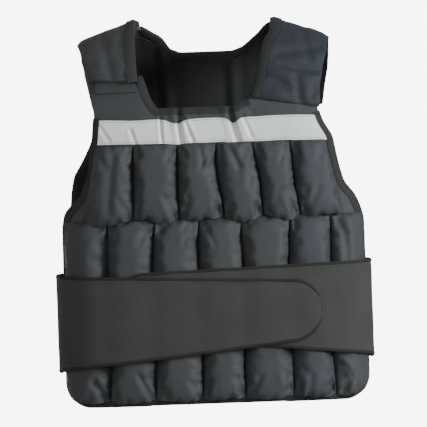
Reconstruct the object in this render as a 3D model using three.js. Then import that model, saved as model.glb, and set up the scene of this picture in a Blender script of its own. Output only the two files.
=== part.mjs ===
// Weighted vest in millimetres, +Z up, front facing -Y, the photo's right at +X.
// The origin is on the centre line, level with the underside of the straps beside the neck.
// Every soft piece is a slab laid over one torso surface, at a lift above it.
import * as THREE from 'three';

// Torso surface that all pieces follow
const bodyHalfWidth = 209;
const bodyHalfDepth = 92;
const sectionPower = 3.2;
const shoulderRise = 154;
const shoulderFall = 0.36;
const neckHalfWidth = 92;

// Sizes down the front, from the seat to the hem
const frontNeckDrop = 116;
const chestBandHeight = 15;
const stripHeight = 31.5;
const upperPocketHeight = 102;
const middlePocketHeight = 124;
const lowerPocketHeight = 124;
const hemBandHeight = 4;
const hemCornerRadius = 30;
const backNeckDrop = 35;
const earTop = 58;

// Thicknesses and gaps
const panelThickness = 5;
const liningThickness = 1;
const stripThickness = 1.2;
const leftStrapThickness = 9.5;
const rightStrapThickness = 5.5;
const pocketDepth = 20;
const beltThickness = 2.5;
const bindingWidth = 7;
const bindingThickness = 2.4;
const layerGap = 0.5;
const sideGap = 0.6;

// Widths across the front
const frontInset = 4;
const backInset = 5;
const hemHalfWidth = bodyHalfWidth - frontInset;
const backHalfWidth = bodyHalfWidth - backInset;
const stripInset = 8;
const upperRowHalfWidth = 154;
const strapWidth = 82;
const leftStrapDrop = 81;
const rightStrapDrop = 105;
const leftStrapSlant = -4;
const rightStrapSlant = 15;
const backStrapDrop = 112;

// Belt
const beltWidth = 137;
const beltTipWidth = 84;
const beltFrontLift = panelThickness + pocketDepth + 2 * layerGap + 0.4;
const beltSideLift = 4.5;
const beltBackLift = panelThickness + 2 * layerGap + 0.6;
const leftWingReach = 142;
const rightWingReach = 130;

const liningInset = 5;
const pocketInset = 2;

// Heights, all below the origin
const frontNeckZ = -frontNeckDrop;
const stripTopZ = frontNeckZ - chestBandHeight;
const upperTopZ = stripTopZ - stripHeight - sideGap;
const middleTopZ = upperTopZ - upperPocketHeight;
const lowerTopZ = middleTopZ - middlePocketHeight;
const hemZ = lowerTopZ - lowerPocketHeight - hemBandHeight;
const chestZ = -shoulderRise;

// Edge of the panels down the side: drop as a share of the whole height, then half widths as shares
// of the hem's half width (front, photo's left and right) and of the back's.
const sideOutline = [
  { drop: 0.0, left: 0.8, right: 0.8, backLeft: 0.8, backRight: 0.8 },
  { drop: 0.11, left: 0.79, right: 0.76, backLeft: 0.79, backRight: 0.76 },
  { drop: 0.184, left: 0.772, right: 0.722, backLeft: 0.772, backRight: 0.722 },
  { drop: 0.234, left: 0.754, right: 0.722, backLeft: 0.765, backRight: 0.722 },
  { drop: 0.271, left: 0.763, right: 0.755, backLeft: 0.779, backRight: 0.752 },
  { drop: 0.307, left: 0.772, right: 0.811, backLeft: 0.812, backRight: 0.785 },
  { drop: 0.36, left: 0.795, right: 0.834, backLeft: 0.878, backRight: 0.81 },
  { drop: 0.387, left: 0.805, right: 0.848, backLeft: 0.92, backRight: 0.83 },
  { drop: 0.432, left: 0.839, right: 0.878, backLeft: 0.94, backRight: 0.86 },
  { drop: 0.458, left: 0.883, right: 0.934, backLeft: 0.945, backRight: 0.91 },
  { drop: 0.475, left: 0.935, right: 0.955, backLeft: 0.948, backRight: 0.94 },
  { drop: 0.494, left: 0.968, right: 0.975, backLeft: 0.952, backRight: 0.955 },
  { drop: 0.528, left: 0.982, right: 0.998, backLeft: 0.965, backRight: 0.975 },
  { drop: 1.0, left: 0.995, right: 1.0, backLeft: 0.98, backRight: 0.98 },
];

// Top edge of the front: place across as a share of the neck's half width, and how far up from the
// neckline to the ears' tops.
const frontNeckline = [
  { at: -1.1, rise: 1.0 },
  { at: -0.98, rise: 0.8 },
  { at: -0.92, rise: 0.55 },
  { at: -0.87, rise: 0.25 },
  { at: -0.76, rise: 0.0 },
  { at: 0.38, rise: 0.0 },
  { at: 0.5, rise: 0.1 },
  { at: 0.65, rise: 0.19 },
  { at: 0.8, rise: 0.62 },
  { at: 0.91, rise: 1.0 },
];

// Top edge of the back, in the same way, from its neckline up to the shoulder ridge.
const backNeckline = [
  { at: -0.99, rise: 1.0 },
  { at: -0.93, rise: 0.84 },
  { at: -0.83, rise: 0.61 },
  { at: -0.69, rise: 0.42 },
  { at: -0.56, rise: 0.09 },
  { at: -0.4, rise: 0.0 },
  { at: 0.4, rise: 0.0 },
  { at: 0.57, rise: 0.09 },
  { at: 0.7, rise: 0.26 },
  { at: 0.82, rise: 0.46 },
  { at: 0.91, rise: 0.75 },
  { at: 0.99, rise: 1.0 },
];

// Straps from the front end over the ridge to the back end: inner edge as a share of the neck's half
// width, width as a share of the strap's.
const leftStrapShape = [
  { along: 0.0, inner: 1.04, width: 0.787 },
  { along: 0.11, inner: 1.055, width: 0.854 },
  { along: 0.225, inner: 1.055, width: 0.89 },
  { along: 0.44, inner: 1.02, width: 1.0 },
  { along: 0.8, inner: 1.01, width: 0.92 },
  { along: 1.0, inner: 1.02, width: 0.8 },
];
const rightStrapShape = [
  { along: 0.0, inner: 0.655, width: 1.1 },
  { along: 0.085, inner: 0.766, width: 0.994 },
  { along: 0.195, inner: 0.853, width: 0.963 },
  { along: 0.257, inner: 0.905, width: 0.955 },
  { along: 0.3, inner: 0.985, width: 0.895 },
  { along: 0.5, inner: 1.01, width: 0.93 },
  { along: 0.8, inner: 1.01, width: 0.92 },
  { along: 1.0, inner: 1.02, width: 0.8 },
];

// Pocket rows: seams across as shares of the row's half width, at the row's top and bottom.
const upperSeams = [
  { top: -1.0, bottom: -1.13 },
  { top: -0.67, bottom: -0.69 },
  { top: -0.29, bottom: -0.28 },
  { top: 0.06, bottom: 0.1 },
  { top: 0.38, bottom: 0.47 },
  { top: 0.7, bottom: 0.78 },
  { top: 1.02, bottom: 1.16 },
];
const fullSeams = [
  { top: -1.0, bottom: -1.0 },
  { top: -0.69, bottom: -0.7 },
  { top: -0.385, bottom: -0.41 },
  { top: -0.08, bottom: -0.1 },
  { top: 0.2, bottom: 0.19 },
  { top: 0.51, bottom: 0.5 },
  { top: 0.775, bottom: 0.775 },
  { top: 1.0, bottom: 1.0 },
];

// Bulge of a pocket across and down, as shares of its depth.
const pocketAcross = [
  { at: 0.0, fill: 0.62 },
  { at: 0.2, fill: 0.92 },
  { at: 0.5, fill: 1.0 },
  { at: 0.8, fill: 0.92 },
  { at: 1.0, fill: 0.62 },
];
const pocketUp = [
  { at: 0.0, fill: 0.6 },
  { at: 0.05, fill: 0.8 },
  { at: 0.14, fill: 0.95 },
  { at: 0.3, fill: 1.0 },
  { at: 0.6, fill: 1.0 },
  { at: 0.88, fill: 0.95 },
  { at: 1.0, fill: 0.55 },
];

// The outermost pockets thin out towards the side of the body, over this distance.
const sideTaper = 40;
const sideFill = [
  { at: 0.0, fill: 0.2 },
  { at: 0.3, fill: 0.5 },
  { at: 0.65, fill: 0.85 },
  { at: 1.0, fill: 1.0 },
];

// Belt centre line at the side and at the tip, from the seam between the two lower rows, as shares
// of the belt's width.
const wingLean = {
  left: { side: -0.12, tip: -0.036 },
  right: { side: -0.061, tip: 0.08 },
};

const cloth = (color, roughness) => new THREE.MeshStandardMaterial({ color, roughness, metalness: 0 });
const shellCloth = cloth(0x3b3f44, 0.8);
const liningCloth = cloth(0x1a1e1c, 0.9);
const bindingTape = cloth(0x3a3d3a, 0.85);
const beltCloth = cloth(0x3f413d, 0.9);
const reflectiveTape = cloth(0xc0c3c4, 0.45);

const vest = new THREE.Group();

// Linear reading of one column of a table, keyed by another.
function read(table, key, column, at) {
  const next = table.findIndex((row) => row[key] >= at);
  if (next <= 0) return table[next === 0 ? 0 : table.length - 1][column];
  const low = table[next - 1];
  const high = table[next];
  const share = (at - low[key]) / (high[key] - low[key]);
  return low[column] + share * (high[column] - low[column]);
}

function steps(count) {
  return Array.from({ length: count + 1 }, (_, i) => i / count);
}

const lerp = THREE.MathUtils.lerp;

function depthAt(x) {
  const share = Math.min(Math.abs(x) / bodyHalfWidth, 0.999);
  return bodyHalfDepth * (1 - share ** sectionPower) ** (1 / sectionPower);
}

function riseAt(x) {
  return shoulderRise - shoulderFall * Math.max(Math.abs(x) - neckHalfWidth, 0);
}

// Turn runs up the front (negative), over the shoulder (0 to a half turn) and down the back.
function torsoPoint(x, turn) {
  const rise = riseAt(x);
  if (turn < 0) return new THREE.Vector3(x, -depthAt(x), chestZ + rise * turn);
  if (turn > Math.PI) return new THREE.Vector3(x, depthAt(x), chestZ - rise * (turn - Math.PI));
  return new THREE.Vector3(x, -depthAt(x) * Math.cos(turn), chestZ + rise * Math.sin(turn));
}

function lifted(x, turn, lift) {
  const near = 0.002;
  const across = torsoPoint(x + near * bodyHalfWidth, turn).sub(torsoPoint(x - near * bodyHalfWidth, turn));
  const along = torsoPoint(x, turn + near).sub(torsoPoint(x, turn - near));
  return torsoPoint(x, turn).addScaledVector(across.cross(along).normalize(), lift);
}

function frontTurn(x, z) {
  const share = (z - chestZ) / riseAt(x);
  return share < 0 ? share : Math.asin(Math.min(share, 1));
}

function backTurn(x, z) {
  return Math.PI - frontTurn(x, z);
}

// Closed slab over a grid of places: place(u, v, lift), with the lift of its two faces.
function slab(name, material, us, vs, place, innerLift, outerLift) {
  const points = [];
  const faces = [];
  const columns = us.length;
  const layer = columns * vs.length;
  for (const lift of [outerLift, innerLift]) {
    for (const v of vs) {
      for (const u of us) {
        const at = typeof lift === 'function' ? lift(u, v) : lift;
        points.push(...place(u, v, at).toArray());
      }
    }
  }
  const quad = (a, b, c, d) => faces.push(a, b, c, a, c, d);
  for (let j = 0; j < vs.length - 1; j += 1) {
    for (let i = 0; i < columns - 1; i += 1) {
      const a = j * columns + i;
      quad(a, a + 1, a + 1 + columns, a + columns);
      quad(layer + a, layer + a + columns, layer + a + 1 + columns, layer + a + 1);
    }
  }
  for (let i = 0; i < columns - 1; i += 1) {
    const top = (vs.length - 1) * columns + i;
    quad(layer + i, layer + i + 1, i + 1, i);
    quad(top, top + 1, layer + top + 1, layer + top);
  }
  for (let j = 0; j < vs.length - 1; j += 1) {
    const low = j * columns;
    const right = low + columns - 1;
    quad(layer + low, low, low + columns, layer + low + columns);
    quad(right, layer + right, layer + right + columns, right + columns);
  }
  const geometry = new THREE.BufferGeometry();
  geometry.setAttribute('position', new THREE.Float32BufferAttribute(points, 3));
  geometry.setIndex(faces);
  geometry.computeVertexNormals();
  const mesh = new THREE.Mesh(geometry, material);
  mesh.name = name;
  vest.add(mesh);
  return mesh;
}

// Half width at a height, with the rounded hem corners taken off.
function edgeAt(column, z) {
  const halfWidth = column.startsWith('back') ? backHalfWidth : hemHalfWidth;
  const above = Math.max(hemCornerRadius - (z - hemZ), 0);
  const corner = hemCornerRadius - Math.sqrt(Math.max(hemCornerRadius ** 2 - above ** 2, 0));
  return halfWidth * read(sideOutline, 'drop', column, z / hemZ) - corner;
}

const sideColumns = 4;
const panelRise = [0, 0.01, 0.03, 0.06, 0.1, 0.2, 0.35, 0.5, 0.58, 0.66, 0.74, 0.8, 0.86, 0.92, 0.96, 1];

// Columns of a panel: those of its neckline table, with even ones between them and the sides.
function panelColumns(neckline, left, right) {
  const across = (at) => (at * neckHalfWidth + left) / (left + right);
  const neck = neckline.map((row) => across(row.at));
  const first = steps(sideColumns).map((s) => s * neck[0]);
  const last = steps(sideColumns).map((s) => lerp(neck.at(-1), 1, s));
  const gaps = neck.slice(1).map((u, i) => u - neck[i]);
  const middle = gaps.indexOf(Math.max(...gaps));
  const filled = [0.25, 0.5, 0.75].map((s) => lerp(neck[middle], neck[middle + 1], s));
  const before = [...first.slice(0, -1), ...neck.slice(0, middle + 1)];
  return [...before, ...filled, ...neck.slice(middle + 1), ...last.slice(1)];
}

function frontPanel() {
  const left = edgeAt('left', frontNeckZ);
  const right = edgeAt('right', frontNeckZ);
  const place = (u, v, lift) => {
    const rise = read(frontNeckline, 'at', 'rise', lerp(-left, right, u) / neckHalfWidth);
    const z = lerp(hemZ, lerp(frontNeckZ, -earTop, rise), v);
    const x = lerp(-edgeAt('left', z), edgeAt('right', z), u);
    return lifted(x, frontTurn(x, z), lift);
  };
  const us = panelColumns(frontNeckline, left, right);
  slab('front_panel', shellCloth, us, panelRise, place, 0, panelThickness);
}

// The back's top edge is set by the turn, because it runs up to the ridge under the straps.
const backNeckEdge = edgeAt('backLeft', -backNeckDrop);

function backTopTurn(x) {
  const rise = read(backNeckline, 'at', 'rise', x / neckHalfWidth);
  return lerp(backTurn(x, -backNeckDrop), Math.PI / 2 + 0.05, rise);
}

function backSpot(u, v) {
  const topX = lerp(-backNeckEdge, backNeckEdge, u);
  const z = lerp(torsoPoint(topX, backTopTurn(topX)).z, hemZ, v);
  const x = lerp(-edgeAt('backLeft', z), edgeAt('backRight', z), u);
  return { x, turn: Math.max(backTurn(x, z), backTopTurn(x)) };
}

function backPlace(u, v, lift) {
  const spot = backSpot(u, v);
  return lifted(spot.x, spot.turn, lift);
}

function backPanel() {
  const columns = panelColumns(backNeckline, backNeckEdge, backNeckEdge);
  const edge = liningInset / (2 * backHalfWidth);
  const us = [0, edge, ...columns.slice(1, -1), 1 - edge, 1];
  const vs = [0, edge, ...panelRise.slice(1, -1).map((rise) => 1 - rise).reverse(), 1];
  const liningVs = vs.slice(1, -1);
  slab('back_panel', shellCloth, us, vs, backPlace, 0, panelThickness);
  const liningUs = us.slice(1, -1);
  slab('back_lining', liningCloth, liningUs, liningVs, backPlace, -layerGap - liningThickness, -layerGap);
}

const strapInnerLift = panelThickness + layerGap;

function strapPlace(side, shape, drop, slant, u, v, lift) {
  const inner = neckHalfWidth * read(shape, 'along', 'inner', v);
  const width = strapWidth * read(shape, 'along', 'width', v);
  const outward = side > 0 ? u : 1 - u;
  const x = side * (inner + width * outward);
  const turn = lerp(frontTurn(x, -drop - slant * outward), backTurn(x, -backStrapDrop), v);
  return lifted(x, turn, lift);
}

const bindingShare = bindingWidth / strapWidth;

function straps() {
  const us = [0, bindingShare, 0.35, 0.65, 0.92, 1];
  for (const [name, side, shape, drop, slant, thickness] of [
    ['left', -1, leftStrapShape, leftStrapDrop, leftStrapSlant, leftStrapThickness],
    ['right', 1, rightStrapShape, rightStrapDrop, rightStrapSlant, rightStrapThickness],
  ]) {
    const place = (u, v, lift) => strapPlace(side, shape, drop, slant, u, v, lift);
    const inward = (u) => (side > 0 ? u : 1 - u);
    const top = strapInnerLift + thickness;
    const fill = (u) => (inward(u) === 1 ? strapInnerLift + 0.85 * thickness : top);
    const columns = side > 0 ? us : us.map((u) => 1 - u).reverse();
    slab(`strap_${name}`, shellCloth, columns, steps(20), place, strapInnerLift, fill);
    const edge = columns.filter((u) => inward(u) <= bindingShare);
    const low = top + layerGap;
    slab(`strap_binding_${name}`, bindingTape, edge, steps(20), place, low, low + bindingThickness);
  }
}

function reflectiveStrip() {
  const place = (u, v, lift) => {
    const z = lerp(stripTopZ - stripHeight, stripTopZ, v);
    const x = lerp(stripInset - edgeAt('left', z), edgeAt('right', z) - stripInset, u);
    return lifted(x, frontTurn(x, z), lift);
  };
  const inner = panelThickness + layerGap;
  slab('reflective_strip', reflectiveTape, steps(20), steps(2), place, inner, inner + stripThickness);
}

function pocketRow(row, seams, halfWidth, topZ, height) {
  const inner = panelThickness + layerGap;
  for (let n = 1; n < seams.length; n += 1) {
    const spot = (u, v) => {
      const z = lerp(topZ - height + sideGap, topZ, v);
      const seamLeft = lerp(seams[n - 1].bottom, seams[n - 1].top, v) * halfWidth + sideGap / 2;
      const seamRight = lerp(seams[n].bottom, seams[n].top, v) * halfWidth - sideGap / 2;
      const left = Math.max(seamLeft, pocketInset - edgeAt('left', z));
      const right = Math.min(seamRight, edgeAt('right', z) - pocketInset);
      return { x: lerp(left, right, u), z };
    };
    const place = (u, v, lift) => {
      const { x, z } = spot(u, v);
      return lifted(x, frontTurn(x, z), lift);
    };
    const fill = (u, v) => {
      const side = (hemHalfWidth - Math.abs(spot(u, v).x)) / sideTaper;
      const full = read(pocketAcross, 'at', 'fill', u) * read(pocketUp, 'at', 'fill', v);
      return inner + pocketDepth * full * read(sideFill, 'at', 'fill', side);
    };
    const outermost = n === 1 || n === seams.length - 1;
    const us = outermost ? steps(8) : pocketAcross.map((entry) => entry.at);
    const vs = pocketUp.map((entry) => entry.at);
    slab(`pocket_${row}_${n}`, shellCloth, us, vs, place, inner, fill);
  }
}

// Points around the torso section at an even run, from the front centre to the back centre.
const sectionRun = [{ run: 0, x: 0, y: -bodyHalfDepth }];
for (const share of steps(720).slice(1)) {
  const angle = share * Math.PI;
  const x = bodyHalfWidth * Math.abs(Math.sin(angle)) ** (2 / sectionPower);
  const y = -bodyHalfDepth * Math.sign(Math.cos(angle)) * Math.abs(Math.cos(angle)) ** (2 / sectionPower);
  const last = sectionRun.at(-1);
  sectionRun.push({ run: last.run + Math.hypot(x - last.x, y - last.y), x, y });
}
const halfGirth = sectionRun.at(-1).run;

// Lift of the belt's inner face around the body, from the front centre to the back centre.
const beltLift = [
  { around: 0.0, lift: beltFrontLift },
  { around: 0.3, lift: beltFrontLift },
  { around: 0.33, lift: lerp(beltSideLift, beltFrontLift, 0.98) },
  { around: 0.36, lift: lerp(beltSideLift, beltFrontLift, 0.86) },
  { around: 0.39, lift: lerp(beltSideLift, beltFrontLift, 0.6) },
  { around: 0.41, lift: lerp(beltSideLift, beltFrontLift, 0.38) },
  { around: 0.43, lift: lerp(beltSideLift, beltFrontLift, 0.24) },
  { around: 0.46, lift: lerp(beltSideLift, beltFrontLift, 0.11) },
  { around: 0.5, lift: beltSideLift },
  { around: 0.6, lift: beltBackLift },
  { around: 1.0, lift: beltBackLift },
];

// The upper wing lies on the lower one over the front only, and on the body from its side backwards.
const beltStack = [
  { around: 0.0, share: 1.0 },
  { around: 0.33, share: 1.0 },
  { around: 0.4, share: 0.0 },
  { around: 1.0, share: 0.0 },
];

function beltPoint(side, run, z, lift) {
  const x = read(sectionRun, 'run', 'x', Math.abs(run)) * (run < 0 ? -1 : 1);
  const y = read(sectionRun, 'run', 'y', Math.abs(run));
  const normal = new THREE.Vector3(
    (Math.sign(x) * (Math.abs(x) / bodyHalfWidth) ** (sectionPower - 1)) / bodyHalfWidth,
    (Math.sign(y) * (Math.abs(y) / bodyHalfDepth) ** (sectionPower - 1)) / bodyHalfDepth,
    0,
  ).normalize();
  const base = read(beltLift, 'around', 'lift', Math.abs(run) / halfGirth);
  return new THREE.Vector3(side * x, y, z).addScaledVector(
    new THREE.Vector3(side * normal.x, normal.y, 0),
    base + lift,
  );
}

// A wing runs from the back centre round its side to its rounded tip on the front.
function beltWing(name, side, reach, lean, layer) {
  const sideRun = halfGirth / 2;
  const tipRun = -reach;
  const us = [...steps(42).map((s) => lerp(halfGirth - sideGap, tipRun + beltTipWidth / 2, s))];
  const round = steps(8).slice(1, -1).map((s) => (s * Math.PI) / 2);
  us.push(...round.map((a) => tipRun + (beltTipWidth / 2) * (1 - Math.sin(a))), tipRun + 0.4);
  const place = (run, v, lift) => {
    const taper = Math.max(sideRun - run, 0) / (sideRun - tipRun);
    const centre = lowerTopZ + beltWidth * lerp(lean.side, lean.tip, Math.min(taper, 1));
    const fullHalf = lerp(beltWidth, beltTipWidth, Math.min(taper * 1.12, 1)) / 2;
    const past = Math.max(tipRun + beltTipWidth / 2 - run, 0);
    const tipRadius = beltTipWidth / 2;
    const half = fullHalf * Math.sqrt(Math.max(1 - (past / tipRadius) ** 2, 0.002));
    const stack = layer * read(beltStack, 'around', 'share', Math.abs(run) / halfGirth);
    const above = lift + stack * (beltThickness + layerGap);
    return beltPoint(side, run, centre + lerp(-half, half, v), above);
  };
  const ordered = side > 0 ? [...us].reverse() : us;
  slab(name, beltCloth, ordered, steps(3), place, 0, beltThickness);
}

// A tape folded over an edge, just clear of the cloth; the cloth is on the left of the path's way.
function edging(name, path) {
  const stretch = (p) => Math.hypot(riseAt(p.x) * Math.cos(p.turn), depthAt(p.x) * Math.sin(p.turn));
  const place = (u, v, lift) => {
    const n = Math.round(u * (path.length - 1));
    const before = path[Math.max(n - 1, 0)];
    const after = path[Math.min(n + 1, path.length - 1)];
    const here = path[n];
    const scale = here.turn < 0 || here.turn > Math.PI ? riseAt(here.x) : stretch(here);
    const dx = after.x - before.x;
    const ds = (after.turn - before.turn) * scale;
    const out = (layerGap + bindingThickness * (1 - v)) / Math.hypot(dx, ds);
    return lifted(here.x + ds * out, here.turn - (dx * out) / scale, lift);
  };
  slab(name, bindingTape, steps(path.length - 1), [0, 1], place, -layerGap, panelThickness + layerGap);
}

// Heights of a panel's own rows below the straps, and its own columns along the hem, so that a tape
// meets the same edge.
function edgePath(topZ, fromZ, columns, leftColumn, rightColumn, point) {
  const drops = panelRise.map((rise) => lerp(hemZ, topZ, rise)).filter((z) => z < fromZ);
  const left = drops.map((z) => point(-edgeAt(leftColumn, z), z)).reverse();
  const right = drops.map((z) => point(edgeAt(rightColumn, z), z));
  const hem = columns.slice(1, -1).map((u) => point(lerp(left.at(-1).x, right[0].x, u), hemZ));
  return [...left, ...hem, ...right];
}

function bindings() {
  const frontPoint = (x, z) => ({ x, turn: frontTurn(x, z) });
  const backPoint = (x, z) => ({ x, turn: backTurn(x, z) });
  const frontStart = -Math.max(leftStrapDrop, rightStrapDrop + rightStrapSlant) - bindingWidth;
  const frontEdges = [edgeAt('left', frontNeckZ), edgeAt('right', frontNeckZ)];
  const frontColumns = panelColumns(frontNeckline, ...frontEdges);
  edging('edge_binding_front', edgePath(-earTop, frontStart, frontColumns, 'left', 'right', frontPoint));
  const backColumns = panelColumns(backNeckline, backNeckEdge, backNeckEdge);
  const ridgeZ = torsoPoint(backNeckEdge, backTopTurn(backNeckEdge)).z;
  const backStart = -backStrapDrop - bindingWidth;
  const backPath = edgePath(ridgeZ, backStart, backColumns, 'backLeft', 'backRight', backPoint);
  edging('edge_binding_back', backPath.reverse());
  const neckEnd = neckHalfWidth * leftStrapShape[0].inner - 2 * bindingThickness;
  const neckStart = neckHalfWidth * rightStrapShape[0].inner - 2 * bindingThickness;
  const frontNeck = frontNeckline.map((row) => row.at * neckHalfWidth);
  const middle = [0.75, 0.5, 0.25].map((s) => lerp(frontNeck[4], frontNeck[5], s));
  const inside = frontNeck.filter((x) => x > -neckEnd && x < neckStart);
  const sorted = [neckStart, ...inside, ...middle, -neckEnd].sort((one, two) => two - one);
  edging('neck_binding_front', sorted.map((x) => {
    const rise = read(frontNeckline, 'at', 'rise', x / neckHalfWidth);
    return frontPoint(x, lerp(frontNeckZ, -earTop, rise));
  }));
  const backNeck = backColumns.map((u) => backSpot(u, 0)).filter((spot) => Math.abs(spot.x) < neckEnd);
  edging('neck_binding_back', backNeck);
}

frontPanel();
backPanel();
straps();
reflectiveStrip();
pocketRow('upper', upperSeams, upperRowHalfWidth, upperTopZ, upperPocketHeight);
pocketRow('middle', fullSeams, hemHalfWidth, middleTopZ, middlePocketHeight);
pocketRow('lower', fullSeams, hemHalfWidth, lowerTopZ, lowerPocketHeight);
beltWing('belt_right', 1, rightWingReach, wingLean.right, 0);
beltWing('belt_left', -1, leftWingReach, wingLean.left, 1);
bindings();

export default vest;
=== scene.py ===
"""Weighted vest: rows of filled pockets, padded straps, a reflective chest strip and a wrap-round belt."""

import math

import bpy
import numpy as np
from mathutils import Matrix, Vector


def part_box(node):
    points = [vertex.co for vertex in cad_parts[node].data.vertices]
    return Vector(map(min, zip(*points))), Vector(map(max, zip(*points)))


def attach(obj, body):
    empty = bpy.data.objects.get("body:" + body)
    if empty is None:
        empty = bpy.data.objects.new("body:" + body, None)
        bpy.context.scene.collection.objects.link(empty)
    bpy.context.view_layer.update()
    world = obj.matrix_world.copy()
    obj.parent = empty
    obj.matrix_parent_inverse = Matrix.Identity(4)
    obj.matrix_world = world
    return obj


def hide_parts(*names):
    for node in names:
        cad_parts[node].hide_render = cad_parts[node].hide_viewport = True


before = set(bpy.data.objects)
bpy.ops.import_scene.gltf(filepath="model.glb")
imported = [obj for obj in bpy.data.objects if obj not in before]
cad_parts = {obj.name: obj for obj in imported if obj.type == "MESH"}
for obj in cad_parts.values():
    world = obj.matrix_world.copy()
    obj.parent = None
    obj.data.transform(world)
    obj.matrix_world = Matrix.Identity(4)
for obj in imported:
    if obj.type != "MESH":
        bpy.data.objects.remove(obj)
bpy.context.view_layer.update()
scene = bpy.context.scene

# Torso surface that every piece is laid on, in metres
BODY_HALF_WIDTH = 0.209
BODY_HALF_DEPTH = 0.092
SECTION_POWER = 3.2
SHOULDER_RISE = 0.154
SHOULDER_FALL = 0.36
NECK_HALF_WIDTH = 0.092

# Heights down the front, from the frame's own nodes
HEM_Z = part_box("front_panel")[0].z
STRIP_LOW_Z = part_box("reflective_strip")[0].z
STRIP_TOP_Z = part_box("reflective_strip")[1].z
ROW_TOPS = {row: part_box(f"pocket_{row}_1")[1].z for row in ("upper", "middle", "lower")}
ROW_FEET = {row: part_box(f"pocket_{row}_1")[0].z for row in ("upper", "middle", "lower")}
FRONT_NECK_Z = -0.116
EAR_TOP_Z = -0.058
BACK_NECK_Z = -0.035
HEM_CORNER = 0.030

# Lifts above the torso surface
PANEL_THICK = 0.005
LAYER_GAP = 0.0005
STRAP_LOW = PANEL_THICK + LAYER_GAP
POCKET_DEPTH = 0.020
BELT_THICK = 0.0025
BELT_FRONT_LIFT = PANEL_THICK + POCKET_DEPTH + 2 * LAYER_GAP + 0.0004
BELT_SIDE_LIFT = 0.0045
BELT_BACK_LIFT = PANEL_THICK + 2 * LAYER_GAP + 0.0006

# Widths
HEM_HALF_WIDTH = 0.205
BACK_HALF_WIDTH = 0.204
UPPER_ROW_HALF = 0.154
STRAP_WIDTH = 0.082
BELT_WIDTH = 0.137
BELT_TIP_WIDTH = 0.084
TAPE_WIDTH = 0.010

# Panel edges down the side: drop as a share of the height, half widths as shares of the hem's.
SIDE_OUTLINE = {
    "drop": (0.0, 0.11, 0.184, 0.234, 0.271, 0.307, 0.36, 0.387, 0.432, 0.458, 0.475, 0.494, 0.528, 1.0),
    "left": (0.8, 0.79, 0.772, 0.754, 0.763, 0.772, 0.795, 0.805, 0.839, 0.883, 0.935, 0.968, 0.982, 0.995),
    "right": (0.8, 0.76, 0.722, 0.722, 0.755, 0.811, 0.834, 0.848, 0.878, 0.934, 0.955, 0.975, 0.998, 1.0),
    "back_left": (0.8, 0.79, 0.772, 0.765, 0.779, 0.812, 0.878, 0.92, 0.94, 0.945, 0.948, 0.952, 0.965, 0.98),
    "back_right": (0.8, 0.76, 0.722, 0.722, 0.752, 0.785, 0.81, 0.83, 0.86, 0.91, 0.94, 0.955, 0.975, 0.98),
}
# Necklines: place as a share of the neck's half width, rise from the neckline to the top.
FRONT_NECKLINE = {
    "at": (-1.1, -0.98, -0.92, -0.87, -0.76, 0.38, 0.5, 0.65, 0.8, 0.91),
    "rise": (1.0, 0.8, 0.55, 0.25, 0.0, 0.0, 0.1, 0.19, 0.62, 1.0),
}
BACK_NECKLINE = {
    "at": (-0.99, -0.93, -0.83, -0.69, -0.56, -0.4, 0.4, 0.57, 0.7, 0.82, 0.91, 0.99),
    "rise": (1.0, 0.84, 0.61, 0.42, 0.09, 0.0, 0.0, 0.09, 0.26, 0.46, 0.75, 1.0),
}
# Straps from front end to back end: inner edge as a share of the neck's half width, width as a share.
STRAPS = {
    "left": {
        "side": -1, "drop": 0.081, "slant": -0.004, "thick": 0.0095,
        "along": (0.0, 0.11, 0.225, 0.44, 0.8, 1.0),
        "inner": (1.04, 1.055, 1.055, 1.02, 1.01, 1.02),
        "width": (0.787, 0.854, 0.89, 1.0, 0.92, 0.8),
    },
    "right": {
        "side": 1, "drop": 0.105, "slant": 0.015, "thick": 0.0055,
        "along": (0.0, 0.085, 0.195, 0.257, 0.3, 0.5, 0.8, 1.0),
        "inner": (0.655, 0.766, 0.853, 0.905, 0.985, 1.01, 1.01, 1.02),
        "width": (1.1, 0.994, 0.963, 0.955, 0.895, 0.93, 0.92, 0.8),
    },
}
BACK_STRAP_DROP = 0.112
# Pocket seams across as shares of the row's half width, at the row's top and foot.
UPPER_SEAMS = {
    "top": (-1.0, -0.67, -0.29, 0.06, 0.38, 0.7, 1.02),
    "foot": (-1.13, -0.69, -0.28, 0.1, 0.47, 0.78, 1.16),
}
FULL_SEAMS = {
    "top": (-1.0, -0.69, -0.385, -0.08, 0.2, 0.51, 0.775, 1.0),
    "foot": (-1.0, -0.7, -0.41, -0.1, 0.19, 0.5, 0.775, 1.0),
}
# How full the outermost pockets are towards the body's side, over this distance.
SIDE_TAPER = 0.040
SIDE_FILL = {"at": (0.0, 0.3, 0.65, 1.0), "fill": (0.2, 0.5, 0.85, 1.0)}
# Belt lift round half the girth, and each wing's lean from the seam of the two lower rows.
BELT_AROUND = (0.0, 0.3, 0.33, 0.36, 0.39, 0.41, 0.43, 0.46, 0.5, 0.6, 1.0)
BELT_RISE = (1.0, 1.0, 0.98, 0.86, 0.6, 0.38, 0.24, 0.11, 0.0, None, None)
BELT_STACK = {"around": (0.0, 0.33, 0.4, 1.0), "share": (1.0, 1.0, 0.0, 0.0)}
WINGS = {
    "left": {"side": -1, "reach": 0.142, "lean": (-0.12, -0.036), "layer": 1},
    "right": {"side": 1, "reach": 0.130, "lean": (-0.061, 0.08), "layer": 0},
}


def mix(low, high, share):
    return low + (high - low) * share


def read(table, key, column, at, soft=0.0):
    """Column of a table at a key, with its corners rounded over a distance."""
    if not soft:
        return np.interp(at, table[key], table[column])
    near = np.linspace(-soft, soft, 9)
    return np.mean([np.interp(at + d, table[key], table[column]) for d in near], axis=0)


def depth_at(x):
    share = np.minimum(np.abs(x) / BODY_HALF_WIDTH, 0.999)
    return BODY_HALF_DEPTH * (1 - share**SECTION_POWER) ** (1 / SECTION_POWER)


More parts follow.
